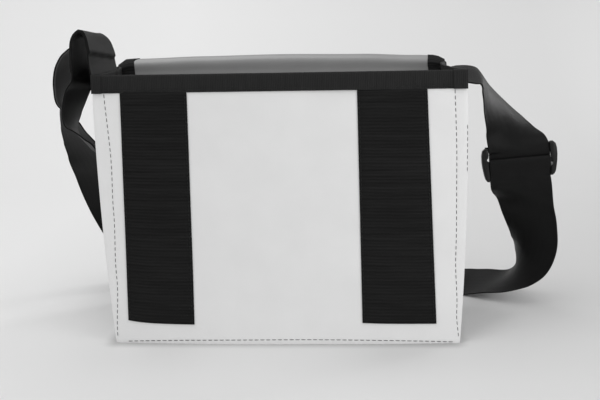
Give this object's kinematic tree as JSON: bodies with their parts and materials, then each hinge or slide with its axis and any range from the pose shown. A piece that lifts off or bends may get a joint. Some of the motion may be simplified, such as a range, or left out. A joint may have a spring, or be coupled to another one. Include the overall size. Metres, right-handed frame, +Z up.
{
  "type": "small messenger handbag",
  "caption": "Boxy tarpaulin messenger handbag standing open, its hook-and-loop flap thrown back, with a webbing shoulder strap, slider and side loop.",
  "frame": {"origin": "middle of the underside of the base panel, on the surface that the bag stands on", "axes": "+X to the wearer's right seen from the front, along the mouth; +Y from the front panel to the back panel; +Z up"},
  "size_m": [0.399, 0.216, 0.2289],
  "materials": {
    "white_tarpaulin": "coated, satin",
    "grey_tarpaulin": "coated, satin",
    "black_webbing": "woven, slightly shiny",
    "black_binding": "ribbed, matte",
    "black_loop_pile": "brushed pile, matte",
    "black_hook_tape": "hooked, matte",
    "black_plastic": "moulded, satin"
  },
  "bodies": {
    "bag": {"front_panel": "white_tarpaulin", "back_panel": "grey_tarpaulin", "gusset_left": "white_tarpaulin", "gusset_right": "white_tarpaulin", "base_panel": "white_tarpaulin", "binding_front": "black_binding", "binding_left": "black_binding", "binding_right": "black_binding", "loop_strip_left": "black_loop_pile", "loop_strip_right": "black_loop_pile", "side_loop": "black_webbing", "strap_end_left": "black_webbing", "strap_end_right": "black_webbing"},
    "flap_upper": {"flap_top": "grey_tarpaulin", "flap_top_binding_left": "black_binding", "flap_top_binding_right": "black_binding"},
    "flap_lower": {"flap_front": "grey_tarpaulin", "flap_front_binding": "black_binding", "hook_strip_left": "black_hook_tape", "hook_strip_right": "black_hook_tape"},
    "strap": {"shoulder_strap": "black_webbing"},
    "strap_slider": {"slider": "black_plastic"}
  },
  "joints": [
    {"name": "flap_hinge", "type": "hinge", "parent": "bag", "child": "flap_upper", "pos_m": [0, 0.05065, 0.20055], "axis": [1, 0, 0], "range_deg": [0, 267.6]},
    {"name": "flap_fold", "type": "hinge", "parent": "flap_upper", "child": "flap_lower", "pos_m": [0, 0.05621, 0.09644], "axis": [1, 0, 0], "range_deg": [0, 87.6]},
    {"name": "strap_swing", "type": "hinge", "parent": "bag", "child": "strap", "pos_m": [0, 0.025, 0.198], "axis": [1, 0, 0], "range_deg": [0, 155]},
    {"name": "slider_slide", "type": "slide", "parent": "strap", "child": "strap_slider", "axis": [0.0785, 0, -0.9969], "range_m": [0, 0.014]}
  ]
}
